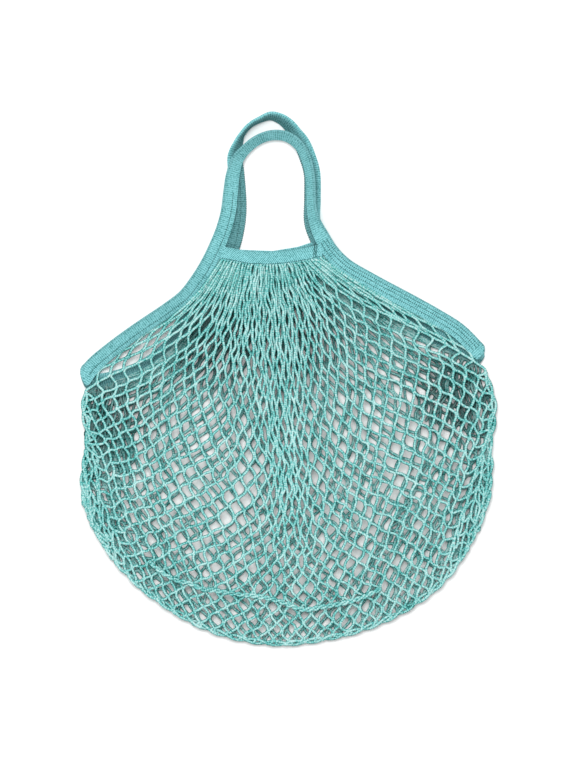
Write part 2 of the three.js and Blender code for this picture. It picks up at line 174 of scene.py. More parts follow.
class BagNet(bpy.types.PropertyGroup):
    mesh_side: length_property("Mesh side", "Length of cord between two knots", 13.2 * MM)
    cord_radius: length_property("Cord radius", "Half the thickness of the knitted cord", 1.5 * MM)
    columns: IntProperty(name="Columns", description="Diamonds across each wall", default=35, min=4)
    courses: IntProperty(name="Courses", description="Half diamonds from band to fold", default=34, min=4)
    # light is a painted highlight on the cord's loops and top, dark is painted shade in its grooves.
    light: colour_property("Light", "Lit loops of the cord", (0.46, 0.68, 0.665))
    mid: colour_property("Middle", "Body colour of the cord", (0.125, 0.455, 0.435))
    dark: colour_property("Dark", "Grooves of the cord", (0.001, 0.12, 0.105))


class BagTape(bpy.types.PropertyGroup):
    rib: length_property("Rib", "Distance between the ribs", 2.0 * MM)
    rib_height: length_property("Rib height", "How far a rib stands proud", 0.1 * MM)
    stitch: length_property("Stitch", "Distance between two stitches", 2.2 * MM)
    # light is a painted highlight on the ribs; dark is the stitches' thread colour and painted shade in
    # the grooves.
    light: colour_property("Light", "Lit ribs of the tape", (0.24, 0.57, 0.6))
    mid: colour_property("Middle", "Body colour of the tape", (0.155, 0.43, 0.45))
    dark: colour_property("Dark", "Stitches and grooves", (0.03, 0.17, 0.17))


class BagStage(bpy.types.PropertyGroup):
    lens: FloatProperty(name="Lens", description="Focal length of the camera in mm", default=110.0)
    scale: length_property("Scale", "Length that one pixel of the photo covers", 0.963 * MM)
    floor_tone: FloatProperty(name="Floor", description="Grey value of the floor", default=0.93)
    lamp: FloatProperty(name="Lamp", description="Power of the soft lamp", default=27.0, unit="POWER")
    sky: FloatProperty(name="Sky", description="Strength of the even light", default=0.8)


def three_spline(points, shares):
    """Points of a centripetal spline at shares of its length, counted by rows."""
    points = np.asarray(points, float)
    shares = np.clip(np.asarray(shares, float), 0, 1)
    last = len(points) - 1
    spot = shares * last
    row = np.minimum(spot.astype(int), last - 1)
    t = (spot - row)[:, None]
    before = 2 * points[0] - points[1]
    after = 2 * points[-1] - points[-2]
    padded = np.vstack([before, points, after])
    p0, p1, p2, p3 = (padded[row + k] for k in range(4))
    d0, d1, d2 = (np.maximum(norm(b - a, axis=1) ** 0.5, 1e-6)[:, None]
                  for a, b in ((p0, p1), (p1, p2), (p2, p3)))
    m1 = ((p1 - p0) / d0 - (p2 - p0) / (d0 + d1) + (p2 - p1) / d1) * d1
    m2 = ((p2 - p1) / d1 - (p3 - p1) / (d1 + d2) + (p3 - p2) / d2) * d1
    return p1 + m1 * t + (-3 * p1 + 3 * p2 - 2 * m1 - m2) * t ** 2 + (2 * p1 - 2 * p2 + m1 + m2) * t ** 3


def along(points):
    """Running length of a polyline."""
    return np.concatenate([[0], np.cumsum(norm(np.diff(points, axis=0), axis=1))])


def by_length(points, count):
    """A smooth curve through points, as a function of the share of its length."""
    fine = three_spline(points, np.linspace(0, 1, count * len(points)))
    reach = along(fine)
    reach /= reach[-1]
    return lambda share: np.stack([np.interp(share, reach, axis) for axis in fine.T], axis=-1)


def ribbon(centre, run, tilt, width, thick):
    """Frames of a strip: its middle, the ways across and up, and its seam line."""
    flat = run.copy()
    flat[:, 2] = 0
    flat /= norm(flat, axis=1)[:, None]
    inner = np.stack([flat[:, 1], -flat[:, 0], np.zeros(len(flat))], axis=1)
    up = np.array([0.0, 0.0, 1.0])
    c, s = np.cos(tilt)[:, None], np.sin(tilt)[:, None]
    across = inner * c + up * s
    normal = up * c - inner * s
    half = (width * np.abs(c) + thick * np.abs(s)) / 2
    rim = centre + inner * (half + SEAM)
    rim[:, 2] = centre[:, 2] + s[:, 0] * width / 2
    return {"centre": centre, "across": across, "normal": normal, "rim": rim, "inner": inner}


def lay_tape(route, base, count):
    """Frames of one tape, evenly spaced along it."""
    rows = np.array(route, float)
    plan = np.stack([place_x(rows[:, 0]), place_y(rows[:, 1]), np.zeros(len(rows))], axis=1)
    shares = np.linspace(0, 1, 40 * len(rows))
    fine = three_spline(plan, shares)
    reach = along(fine)
    even = np.interp(np.linspace(0, reach[-1], count), reach, shares)
    centre = three_spline(plan, even)
    spot = even * (len(rows) - 1)
    tilt, lift = (np.interp(spot, np.arange(len(rows)), rows[:, k]) for k in (2, 3))
    tilt = np.radians(tilt)
    lift *= MOUTH_GAP
    centre[:, 2] = base + lift + (TAPE_WIDTH * np.abs(np.sin(tilt)) + TAPE_THICK * np.cos(tilt)) / 2
    return ribbon(centre, np.gradient(centre, axis=0), tilt, TAPE_WIDTH, TAPE_THICK)


BAND_TUCK = 2.4 * MM  # how far a band's ends run in under the tapes


def lay_band(drape, tape, base, count):
    """Frames of a band that hangs between the legs of a tape."""
    rows = np.array(drape, float)

    def height(x):
        return ORIGIN_Y + NET_HEIGHT + BAND_WIDTH / 2 + BAND_SAG * np.interp(x, rows[:, 0], rows[:, 1])

    ends = []
    for side in (-1, 1):
        leg = tape["rim"][np.sign(tape["rim"][:, 0] - ORIGIN_X) == side]
        near = np.argmin(np.abs(leg[:, 1] - height(side)))
        ends.append(leg[near, 0] + side * BAND_TUCK)
    x = np.linspace(ends[0], ends[1], count)
    share = np.clip((x - ORIGIN_X) / (BAND_LENGTH / 2), -1, 1)
    centre = np.stack([x, height(share), np.full(count, base + TAPE_THICK / 2)], axis=1)
    return ribbon(centre, np.gradient(centre, axis=0), np.zeros(count), BAND_WIDTH, TAPE_THICK)


FRONT_BASE = TAPE_THICK + CLEARANCE
TAPE_COUNT = 2400
BAND_COUNT = 400
FRONT_TAPE = lay_tape(FRONT_ROUTE, FRONT_BASE, TAPE_COUNT)
BACK_TAPE = lay_tape(BACK_ROUTE, 0.0, TAPE_COUNT)
FRONT_BAND = lay_band(FRONT_DRAPE, FRONT_TAPE, FRONT_BASE + MOUTH_GAP, BAND_COUNT)
BACK_BAND = lay_band(BACK_DRAPE, BACK_TAPE, 0.0, BAND_COUNT)


def fold_points(rows, z):
    """Places of the plan, given in shares, at one height."""
    rows = np.array(rows, float)
    return np.stack([place_x(rows[:, 0]), place_y(rows[:, 1]), np.full(len(rows), z)], axis=1)


def fold_outline(z):
    """The folds from the left corner over the bottom to the right corner, as one curve."""
    return by_length(fold_points(LEFT_FOLD[:-1] + BOTTOM_FOLD + RIGHT_FOLD[-2::-1], z), 20)


CORNER = 5 / 12  # share of the wall's courses that hang on the slopes, above the side folds
FOLD_SPLIT = (0.145, 0.83)  # shares of the outline where its sides meet its bottom

# The doubled cord that closes the bottom, x and y in shares of the plan.
SEAM_ROW = (
    (-1.5, 0.22), (-1.4, 0.19), (-1.29, 0.17), (-1.22, 0.165), (-1.13, 0.15), (-1.03, 0.145),
    (-0.87, 0.14), (-0.64, 0.135), (-0.3, 0.13), (0.1, 0.118), (0.32, 0.106), (0.6, 0.095),
    (0.96, 0.103), (1.09, 0.111), (1.2, 0.125), (1.32, 0.15),
)
SEAM_TURNS = 17  # windings of its two cords around each other
SEAM_LIFT = 3.2 * MM  # of the cord above the front wall's hollow
TUCK = 1.5 * MM  # how far the net runs in under the tapes and bands


def wall(tape, band, fold_z):
    """A wall of the net, filled in between its four edges, as a function of two shares."""
    top_line = band["rim"] - np.array([0, -TUCK, 0])
    top = by_length(top_line[:: len(top_line) // 12], 8)
    start = top_line[0], top_line[-1]
    outline = fold_outline(fold_z)
    sides = []
    for side, fold, split in ((-1, LEFT_FOLD, FOLD_SPLIT[0]), (1, RIGHT_FOLD, FOLD_SPLIT[1])):
        end = 0 if side < 0 else 1
        mine = np.sign(tape["rim"][:, 0] - ORIGIN_X) == side
        low = tape["rim"][:, 1] < start[end][1] - 2 * MM
        line = (tape["rim"] - tape["inner"] * TUCK)[mine & low]
        line = line[::-1] if side < 0 else line
        corner = fold_points(fold[:1], fold_z)
        upper = by_length(np.vstack([start[end], line[4::40], corner]), 8)
        sides.append((upper, split, end))

    def bottom(u):
        return outline(FOLD_SPLIT[0] + (FOLD_SPLIT[1] - FOLD_SPLIT[0]) * u)

    def side_at(pair, v):
        upper = pair[0](np.clip(v / CORNER, 0, 1))
        lower = outline(pair[2] + (pair[1] - pair[2]) * np.clip((v - CORNER) / (1 - CORNER), 0, 1))
        return np.where((v < CORNER)[:, None], upper, lower)

    def surface(u, v):
        u, v = np.asarray(u, float), np.asarray(v, float)
        a, b = u[:, None], v[:, None]
        left, right = side_at(sides[0], v), side_at(sides[1], v)
        zero, one = np.zeros(1), np.ones(1)
        return ((1 - a) * left + a * right + (1 - b) * top(u) + b * bottom(u)
                - (1 - a) * (1 - b) * top(zero) - a * (1 - b) * top(one)
                - (1 - a) * b * bottom(zero) - a * b * bottom(one))

    return surface


def link_nodes(nodes):
    """Cords between neighbouring knots of one wall, as pairs of rows in nodes."""
    index = {tuple(node): n for n, node in enumerate(nodes)}
    pairs = [(n, index[(k + step, j + 1)]) for (k, j), n in index.items() for step in (-1, 1)
             if (k + step, j + 1) in index]
    return np.array(pairs), index


def settle(points, pairs, held, side, steps, give):
    """Moves free knots in plan until each cord between two knots has its own length."""
    points = points.copy()
    count = len(points)
    ends = np.concatenate([pairs[:, 0], pairs[:, 1]])
    degree = np.maximum(np.bincount(ends, minlength=count), 1)
    free = (~held).astype(float)
    for _ in range(steps):
        gap = points[pairs[:, 1], :2] - points[pairs[:, 0], :2]
        far = norm(gap, axis=1)
        pull = (far - side) / np.maximum(far, 1e-9)
        pull = np.where(far > side, pull, pull * give) * 0.5
        move = gap * pull[:, None]
        for axis in (0, 1):
            shift = (np.bincount(pairs[:, 0], move[:, axis], count)
                     - np.bincount(pairs[:, 1], move[:, axis], count))
            points[:, axis] += 1.7 * shift / degree * free
    return points


def drift(points, rng, reach, size):
    """A smooth random push in plan, made of a few long waves."""
    push = np.zeros((len(points), 2))
    for _ in range(9):
        wave = rng.normal(0, 2 * math.pi / reach, 2) * 0.5
        way = rng.normal(0, 1, 2)
        push += np.sin(points[:, :2] @ wave + rng.uniform(0, 2 * math.pi))[:, None] * way
    return push * size / 3


# Where the knots of each wall lie before the cords settle. A row gives a share of the courses,
# then x and y of the columns at 1/8, 2/8 ... 7/8 of the wall, in shares of the plan. Both walls
# are gathered below the band, and the back one is bunched at its corners.
FRONT_FLOW = (
    (0.1, -0.96, 0.908, -0.62, 0.894, -0.3, 0.892, 0.04, 0.894, 0.38, 0.9, 0.74, 0.913, 1.06, 0.937),
    (0.2, -1.22, 0.786, -0.87, 0.786, -0.32, 0.776, 0.09, 0.778, 0.51, 0.786, 1.02, 0.81, 1.25, 0.868),
    (0.3, -1.41, 0.702, -1.04, 0.678, -0.28, 0.662, 0.15, 0.662, 0.64, 0.67, 1.12, 0.707, 1.43, 0.792),
    (0.42, -1.56, 0.615, -1.09, 0.557, -0.21, 0.53, 0.25, 0.525, 0.79, 0.538, 1.22, 0.591, 1.6, 0.704),
    (0.55, -1.64, 0.517, -1.17, 0.435, -0.25, 0.388, 0.3, 0.383, 0.94, 0.401, 1.32, 0.467, 1.69, 0.58),
    (0.7, -1.71, 0.417, -1.26, 0.314, -0.51, 0.251, 0.32, 0.245, 1.05, 0.264, 1.41, 0.338, 1.75, 0.449),
    (0.85, -1.76, 0.311, -1.36, 0.203, -0.75, 0.129, 0.3, 0.119, 1.11, 0.14, 1.48, 0.216, 1.77, 0.325),
)
BACK_FLOW = (
    (0.1, -1.04, 0.897, -0.7, 0.894, -0.36, 0.894, 0.04, 0.894, 0.4, 0.9, 0.77, 0.91, 1.07, 0.923),
    (0.2, -1.3, 0.752, -1.07, 0.752, -0.53, 0.762, 0.08, 0.773, 0.64, 0.778, 1.1, 0.789, 1.32, 0.81),
    (0.3, -1.64, 0.683, -1.36, 0.657, -0.91, 0.646, 0.11, 0.657, 1.01, 0.662, 1.32, 0.683, 1.58, 0.718),
    (0.42, -1.86, 0.615, -1.68, 0.573, -1.18, 0.541, 0.17, 0.525, 1.15, 0.541, 1.55, 0.607, 1.81, 0.66),
    (0.55, -1.86, 0.522, -1.7, 0.467, -1.21, 0.409, 0.23, 0.383, 1.2, 0.409, 1.6, 0.488, 1.85, 0.551),
    (0.7, -1.86, 0.43, -1.63, 0.343, -1.18, 0.264, 0.26, 0.245, 1.21, 0.277, 1.56, 0.351, 1.85, 0.451),
    (0.85, -1.83, 0.325, -1.52, 0.214, -1.09, 0.135, 0.28, 0.119, 1.19, 0.145, 1.55, 0.224, 1.82, 0.33),
)


def curve_weights(spots, last):
    """Weights of rows 0 to last in a smooth curve through them, at spots counted in rows."""
    weights = np.zeros((len(spots), last + 1))
    row = np.clip(spots.astype(int), 0, last - 1)
    t = spots - row
    parts = (-t + 2 * t ** 2 - t ** 3, 2 - 5 * t ** 2 + 3 * t ** 3,
             t + 4 * t ** 2 - 3 * t ** 3, t ** 3 - t ** 2)
    for step, part in zip((-1, 0, 1, 2), parts):
        np.add.at(weights, (np.arange(len(spots)), np.clip(row + step, 0, last)), part / 2)
    return weights


def flow(surface, table):
    """Bends a wall so that its knots follow a flow table, and leaves its edges where they are."""
    columns = np.linspace(0, 1, 9)
    rows = np.array(table)
    courses = np.array([0, *rows[:, 0], 1])
    u, v = (grid.ravel() for grid in np.meshgrid(columns, courses))
    shift = np.zeros((len(courses), len(columns), 3))
    places = rows[:, 1:].reshape(len(rows), -1, 2)
    rest = surface(u, v).reshape(shift.shape)[1:-1, 1:-1]
    shift[1:-1, 1:-1, 0] = place_x(places[..., 0]) - rest[..., 0]
    shift[1:-1, 1:-1, 1] = place_y(places[..., 1]) - rest[..., 1]

    def bent(u, v):
        across = curve_weights(u * (len(columns) - 1), len(columns) - 1)
        down = curve_weights(np.interp(v, courses, np.arange(len(courses))), len(courses) - 1)
        return surface(u, v) + np.einsum("na,nb,bac->nc", across, down, shift)

    return bent


def fold_in(points):
    """Turns knots that lie outside the side folds over to the inside, as the cloth folds."""
    outline = fold_outline(0)(np.linspace(0, 1, 600))
    lowest = int(np.argmin(outline[:, 1]))
    for line, side in ((outline[:lowest][::-1], 1), (outline[lowest:], -1)):
        edge = np.interp(points[:, 1], line[:, 1], line[:, 0])
        out = np.maximum((edge - points[:, 0]) * side, 0) * (points[:, 1] < line[-1, 1])
        points[:, 0] += 2 * out * side


LONG_WAVE, SHORT_WAVE = 90 * MM, 40 * MM  # of the random push on the knots
KNOT_SCATTER = 0.7 * MM
FIRST_SETTLE = (160, 0.06)  # steps, and how far slack cords push their knots apart
LAST_SETTLE = (8, 0.05)
BACK_HEIGHT = 1.5 * MM  # of the back wall's knots


def make_wall(surface, table, net, rng, level, loose, odd):
    """Knots of one wall, settled in plan, with their grid places and heights. The two walls
    meet half a course below their last knots."""
    columns, courses = net.columns, net.courses
    nodes = np.array([(k, j) for j in range(courses) for k in range(2 * columns + 1)
                      if (k + j) % 2 == odd])
    u, v = nodes[:, 0] / (2 * columns), nodes[:, 1] / (courses - 0.5)
    points = flow(surface, table)(u, v)
    pairs, index = link_nodes(nodes)
    held = ((nodes[:, 1] == 0) | (nodes[:, 1] == courses - 1)
            | (nodes[:, 0] == 0) | (nodes[:, 0] == 2 * columns))
    inside = (plateau(u) * plateau(v) * ~held)[:, None]
    points[:, :2] += drift(points, rng, LONG_WAVE, loose) * inside
    points = settle(points, pairs, held, net.mesh_side, *FIRST_SETTLE)
    fold_in(points)
    points[:, :2] += rng.normal(0, KNOT_SCATTER, (len(points), 2)) * inside
    points[:, :2] += drift(points, rng, SHORT_WAVE, loose / 4) * inside
    points = settle(points, pairs, held, net.mesh_side, *LAST_SETTLE)
    fold_in(points)
    points[:, 2] = level(points[:, 2], u, v)
    return {"nodes": nodes, "points": points, "pairs": pairs, "index": index}


def plateau(share):
    """One in the middle of a wall, falling off to zero at its edges."""
    return 1 - (2 * share - 1) ** 4


def front_level(z, u, v):
    """Height of the front wall's knots, which lie over the hollow."""
    cover = plateau(u) * plateau(v) * (0.8 + 0.2 * v)
    return z + cover * HOLLOW_RISE


def back_level(z, u, v):
    """Height of the back wall's knots, which lie on the floor."""
    return np.full(len(z), BACK_HEIGHT)


CORD_STEPS = 7  # straight steps between two knots
FAN_LIFT = 1.3 * MM  # how far cords lie over each other in the gather
KNOT_RISE = 0.25 * MM  # spread of the knots' heights
LARGEST_BOW = 2 * MM  # of a slack cord between two knots
LOOP_LENGTH = 19 * MM  # between two crossings of the cords along the folds
LOOP_INSET = 1.6 * MM  # how far inside the fold these cords run on the whole
LOOP_SWING = 2.0 * MM  # and how far each swings to both sides of that


def trace_cords(front, back, fold, net):
    """Knots along each cord, from the front band over the bottom fold to the back band. A cord
    zigzags in its own lane, and at each knot it touches the cord of the next lane."""
    cords = []
    walls = front, back
    last = net.courses - 1
    for lane in range(2 * net.columns):
        path = [(0, lane + (lane + j) % 2, j) for j in range(last + 1)]
        path += [(1, lane + (lane + j + 1) % 2, j) for j in range(last, -1, -1)]
        knots = [walls[side]["points"][walls[side]["index"][(k, j)]] for side, k, j in path]
        knots.insert(last + 1, fold(np.array([(lane + 0.5) / (2 * net.columns)]), np.ones(1))[0])
        depth = [j for _, _, j in path]
        depth.insert(last + 1, last)
        cords.append((lane, np.array(depth), np.array(knots)))
    return cords


def bend_cords(cords, net, rng):
    """Smooth, slack lines through the knots of each cord."""
    lines = []
    for lane, depth, knots in cords:
        knots = knots.copy()
        count = len(knots)
        toward = np.zeros_like(knots)
        toward[1:-1] = (knots[:-2] + knots[2:]) / 2 - knots[1:-1]
        toward[:, 2] = 0
        width = norm(toward, axis=1)
        apart = np.minimum(net.cord_radius * 0.45, width * 0.4)
        knots += toward * (apart / np.maximum(width, 1e-9))[:, None]
        fan = np.clip(1.2 - 2.6 * depth / net.courses, 0, 1)
        knots[:, 2] += (lane * 5 % 3 - 1) * fan * FAN_LIFT + rng.normal(0, KNOT_RISE, count)
        knots[:, 2] = np.maximum(knots[:, 2], net.cord_radius)
        shares = np.linspace(0, 1, (count - 1) * CORD_STEPS + 1)
        line = three_spline(knots, shares)
        gap = norm(np.diff(knots[:, :2], axis=0), axis=1)
        slack = (2 / math.pi) * np.sqrt(np.maximum(gap * (net.mesh_side - gap), 0))
        bow = np.minimum(slack, LARGEST_BOW) * rng.choice([-1, 1], count - 1)
        bow *= rng.uniform(0.2, 0.9, count - 1)
        run = np.gradient(line, axis=0)
        run[:, 2] = 0
        run /= np.maximum(norm(run, axis=1), 1e-9)[:, None]
        sideways = np.stack([-run[:, 1], run[:, 0], np.zeros(len(run))], axis=1)
        piece = np.minimum((shares * (count - 1)).astype(int), count - 2)
        phase = shares * (count - 1) - piece
        line += sideways * (bow[piece] * np.sin(math.pi * phase))[:, None]
        line[:, 2] = np.maximum(line[:, 2], net.cord_radius)
        lines.append(line)
    return lines


def seam_lines(net):
    """The two cords of the closing row, wound loosely around each other."""
    path = by_length(fold_points(SEAM_ROW, 0), 12)(np.linspace(0, 1, 260))
    turn = np.linspace(0, 2 * math.pi * SEAM_TURNS, len(path))
    lines = []
    for phase in (0, math.pi):
        line = path.copy()
        line[:, 1] += np.sin(turn + phase) * net.cord_radius * 0.9
        line[:, 2] = FOLD_GAP + HOLLOW_RISE + SEAM_LIFT + np.cos(turn + phase) * net.cord_radius * 0.6
        lines.append(line)
    return lines


def edge_lines(net, z):
    """Loose cords that cross each other along the folds, so that the outline is a chain of loops."""
    path = fold_outline(z)(np.linspace(0, 1, 900))
    run = np.gradient(path, axis=0)
    inward = np.stack([-run[:, 1], run[:, 0], run[:, 2]], axis=1) / norm(run, axis=1)[:, None]
    turn = along(path) / LOOP_LENGTH * math.pi
    lines = []
    for phase in (0, math.pi):
        line = path + inward * (LOOP_INSET + np.sin(turn + phase) * LOOP_SWING)[:, None]
        line[:, 2] += np.sin(turn * 1.1 + phase) * net.cord_radius * 0.8
        lines.append(line[::3])
    return lines


# Where the back wall lies bunched under the tape's corners: the middles of its painted shade, there and
# under the gather, and the cords' upper and lower ends as a first and a last point, x and y in shares.
SHADE_SPOTS = ((-1.86, 0.6), (1.78, 0.66), (-1.0, 0.8), (0.3, 0.82))
BUNCHES = (
    (((-1.95, 0.672), (-1.66, 0.7)), ((-1.94, 0.47), (-1.62, 0.45)), 15),
    (((1.9, 0.74), (1.72, 0.77)), ((1.95, 0.55), (1.5, 0.6)), 13),
)


def bunch_lines(rng):
    """Cords of the back wall that lie close together, wavy, under the corners."""
    steps = np.linspace(0, 1, 36)
    lines = []
    for top, low, count in BUNCHES:
        for n in range(count):
            share = (n + rng.uniform(0.1, 0.9)) / count
            spots = [np.array(a) + (np.array(b) - a) * share for a, b in (top, low)]
            start, stop = (np.array([place_x(x), place_y(y), 0]) for x, y in spots)
            line = start + (stop - start) * steps[:, None]
            wave = rng.uniform(1.2, 2.4) * MM * np.sin(steps * rng.uniform(14, 22) + rng.uniform(0, 6))
            line[:, 0] += wave
            line[:, 2] = 2.2 * MM + rng.uniform(-0.6, 1.2) * MM * np.sin(math.pi * steps)
            lines.append(line)
    return lines


def add_object(name, data):
    """A new object at the origin, in the scene."""
    piece = bpy.data.objects.new(name, data)
    bpy.context.scene.collection.objects.link(piece)
    return piece


def line_mesh(name, lines):
    """A mesh of bare edges, one chain for each line."""
    starts = np.cumsum([0] + [len(line) for line in lines])
    edges = [(start + n, start + n + 1)
             for start, line in zip(starts, lines) for n in range(len(line) - 1)]
    data = bpy.data.meshes.new(name)
    data.from_pydata(np.vstack(lines).tolist(), edges, [])
    return add_object(name, data)


def connect(tree, *rows):
    """Makes links, each given as a node, its output, the next node and its input."""
    for source, output, target, field in rows:
        tree.links.new(source.outputs[output], target.inputs[field])


def feed(tree, field, value):
    """Links a socket to an input, or sets the input to a plain value."""
    if isinstance(value, bpy.types.NodeSocket):
        tree.links.new(value, field)
    else:
        field.default_value = value


def math_value(tree, operation, *values):
    """The result of a math node that takes values or sockets."""
    step = tree.nodes.new("ShaderNodeMath")
    step.operation = operation
    for field, value in zip(step.inputs, values):
        feed(tree, field, value)
    return step.outputs[0]


def tree_with(name, sockets):
    """A new Geometry Nodes tree with a geometry input, named inputs and a geometry output."""
    tree = bpy.data.node_groups.new(name, "GeometryNodeTree")
    face = tree.interface
    face.new_socket("Geometry", in_out="INPUT", socket_type="NodeSocketGeometry")
    for label, kind in sockets:
        face.new_socket(label, in_out="INPUT", socket_type=kind)
    face.new_socket("Geometry", in_out="OUTPUT", socket_type="NodeSocketGeometry")
    return tree, tree.nodes.new("NodeGroupInput"), tree.nodes.new("NodeGroupOutput")


def cord_tree():
    """Turns bare edges into a round cord, with its length and how far each spot faces up as attributes;
    the material paints light on the cord's upward-facing top from the latter.
    """
    tree, source, result = tree_with("Knitted cord", (
        ("Radius", "NodeSocketFloat"), ("Groove", "NodeSocketFloat"), ("Lay", "NodeSocketFloat"),
        ("Material", "NodeSocketMaterial")))
    curve, length, tilt, keep, star, sweep, smooth, facing, painted_top_light, real, paint = (
        tree.nodes.new("GeometryNode" + kind) for kind in (
            "MeshToCurve", "SplineParameter", "SetCurveTilt", "StoreNamedAttribute", "CurveStar",
            "CurveToMesh", "SetShadeSmooth", "InputNormal", "StoreNamedAttribute",
            "RealizeInstances", "SetMaterial"))
    split = tree.nodes.new("ShaderNodeSeparateXYZ")
    keep.inputs["Name"].default_value = "cord_along"
    painted_top_light.inputs["Name"].default_value = "cord_painted_top_light"
    star.inputs["Points"].default_value = 3
    sweep.inputs["Fill Caps"].default_value = True
    turns = math_value(tree, "DIVIDE", length.outputs["Length"], source.outputs["Lay"])
    feed(tree, tilt.inputs["Tilt"], math_value(tree, "MULTIPLY", turns, 2 * math.pi))
    feed(tree, star.inputs["Inner Radius"],
         math_value(tree, "MULTIPLY", source.outputs["Radius"], source.outputs["Groove"]))
    connect(
        tree,
        (source, "Geometry", curve, "Mesh"), (curve, "Curve", keep, "Geometry"),
        (length, "Length", keep, "Value"), (keep, "Geometry", tilt, "Curve"),
        (source, "Radius", star, "Outer Radius"), (tilt, "Curve", sweep, "Curve"),
        (star, "Curve", sweep, "Profile Curve"), (sweep, "Mesh", smooth, "Geometry"),
        (smooth, "Geometry", painted_top_light, "Geometry"), (facing, "Normal", split, 0),
        (split, "Z", painted_top_light, "Value"), (painted_top_light, "Geometry", real, "Geometry"),
        (real, "Geometry", paint, "Geometry"), (source, "Material", paint, "Material"),
        (paint, "Geometry", result, "Geometry"))
    return tree


def stitch_tree():
    """Lays small raised stitches end to end along bare edges."""
    tree, source, result = tree_with("Stitch row", (
        ("Spacing", "NodeSocketFloat"), ("Size", "NodeSocketVector"), ("Material", "NodeSocketMaterial")))
    curve, space, run, bead, lay, smooth, real, paint = (
        tree.nodes.new("GeometryNode" + kind) for kind in (
            "MeshToCurve", "ResampleCurve", "InputTangent", "MeshIcoSphere", "InstanceOnPoints",
            "SetShadeSmooth", "RealizeInstances", "SetMaterial"))
    space.mode = "LENGTH"
    turn = tree.nodes.new("FunctionNodeAlignEulerToVector")
    turn.axis = "X"
    bead.inputs["Radius"].default_value = 1
    bead.inputs["Subdivisions"].default_value = 2
    connect(
        tree,
        (source, "Geometry", curve, "Mesh"), (curve, "Curve", space, "Curve"),
        (source, "Spacing", space, "Length"), (run, "Tangent", turn, "Vector"),
        (space, "Curve", lay, "Points"), (bead, "Mesh", lay, "Instance"),
        (turn, "Rotation", lay, "Rotation"), (source, "Size", lay, "Scale"),
        (lay, "Instances", real, "Geometry"), (real, "Geometry", smooth, "Geometry"),
        (smooth, "Geometry", paint, "Geometry"), (source, "Material", paint, "Material"),
        (paint, "Geometry", result, "Geometry"))
    return tree


def grow(piece, tree, values):
    """Runs a Geometry Nodes tree on a piece and keeps its result as a plain mesh."""
    change = piece.modifiers.new(tree.name, "NODES")
    change.node_group = tree
    for item in tree.interface.items_tree:
        if item.item_type == "SOCKET" and item.in_out == "INPUT" and item.name in values:
            change[item.identifier] = values[item.name]
    bpy.context.view_layer.update()
    view = bpy.context.evaluated_depsgraph_get()
    solid = bpy.data.meshes.new_from_object(piece.evaluated_get(view))
    bare = piece.data
    piece.modifiers.clear()
    piece.data = solid
    bpy.data.meshes.remove(bare)
    return piece


# Section of a folded tape, in halves of its width and thickness. The outer edge, at -1, is
# the fold, and the inner one shows the slit between the two layers.
TAPE_SECTION = (
    (-1, 0), (-0.985, 0.5), (-0.94, 0.85), (-0.86, 1), (-0.5, 1.06), (0, 1.02), (0.5, 1.05),
    (0.88, 1), (0.97, 0.85), (1, 0.5), (0.985, 0.16), (0.93, 0), (0.985, -0.16), (1, -0.5),
    (0.97, -0.85), (0.88, -1), (0.5, -1), (0, -1), (-0.5, -1), (-0.86, -1), (-0.94, -0.85),
    (-0.985, -0.5),
)


LEAN_REACH = 20 * MM  # length over which a tape's end turns onto its crease
BLUNT = 6.5 * MM  # radius of the outer corner of a tape's end
ROLL_STEPS = 7


def crease(end):
    """The crease at one end of the two tapes, 0 or -1: its outward way and half its height."""
    runs = [strip["centre"][end + 1 if end == 0 else end] - strip["centre"][end if end == 0 else end - 1]
            for strip in (FRONT_TAPE, BACK_TAPE)]
    out = sum(run * [1, 1, 0] / norm(run[:2]) for run in runs)
    out *= (-1 if end == 0 else 1) / norm(out)
    rise = (FRONT_TAPE["centre"][end][2] - BACK_TAPE["centre"][end][2]) / 2
    return out, rise


def strip_rows(strip, width, thick, tape, slant, upper):
    """Points of a ribbed strip, row by row, with its map. A tape (upper is True or False)
    rolls halfway over a crease at both ends to meet the other tape."""
    section = np.array(TAPE_SECTION)
    side = section[:, 0] * width / 2
    reach = along(strip["centre"])
    run = np.gradient(strip["centre"], axis=0)
    run /= norm(run, axis=1)[:, None]
    shift = np.zeros((len(reach), len(side)))
    if upper is not None:
        for end, far in ((0, reach), (-1, reach[-1] - reach)):
            out, _ = crease(end)
            way = np.array([-out[1], out[0], 0])
            lean = way @ run[end] / (way @ strip["across"][end])
            fade = np.clip(1 - far / LEAN_REACH, 0, 1) ** 2
            blunt = np.maximum(np.abs(side) - (width / 2 - BLUNT), 0)
            blunt = BLUNT - np.sqrt(BLUNT ** 2 - blunt ** 2)
            blunt = np.where(side < 0, blunt, blunt / 3) * (1 if end else -1)
            shift += fade[:, None] * (lean * side - blunt)[None]
    strip_map = reach[:, None] + shift
    face = np.abs(section[:, 1]) > 0.95
    proud = np.where(face, tape.rib_height, tape.rib_height / 3) * np.sign(section[:, 1])

    def raised(map_rows):
        wave = np.sin(2 * math.pi * (map_rows + slant * side) / tape.rib)
        return section[:, 1] * thick / 2 + proud * wave

    flat = (strip["centre"][:, None] + run[:, None] * shift[..., None]
            + strip["across"][:, None] * side[:, None])
    rows = flat + strip["normal"][:, None] * raised(strip_map)[..., None]
    if upper is None:
        return rows, strip_map
    up = np.array([0, 0, 1.0 if upper else -1.0])
    for end in (0, -1):
        out, rise = crease(end)
        turn = np.linspace(0, math.pi / 2, ROLL_STEPS + 1)[1:]
        map_rows = strip_map[end] + turn[:, None] * rise * (1 if end else -1)
        height = rise + raised(map_rows) * up[2]
        way = np.sin(turn)[:, None] * out + np.cos(turn)[:, None] * up
        rolled = flat[end] - up * rise + height[..., None] * way[:, None]
        rows = np.concatenate([rows, rolled] if end else [rolled[::-1], rows])
        strip_map = np.concatenate([strip_map, map_rows] if end else [map_rows[::-1], strip_map])
    return rows, strip_map


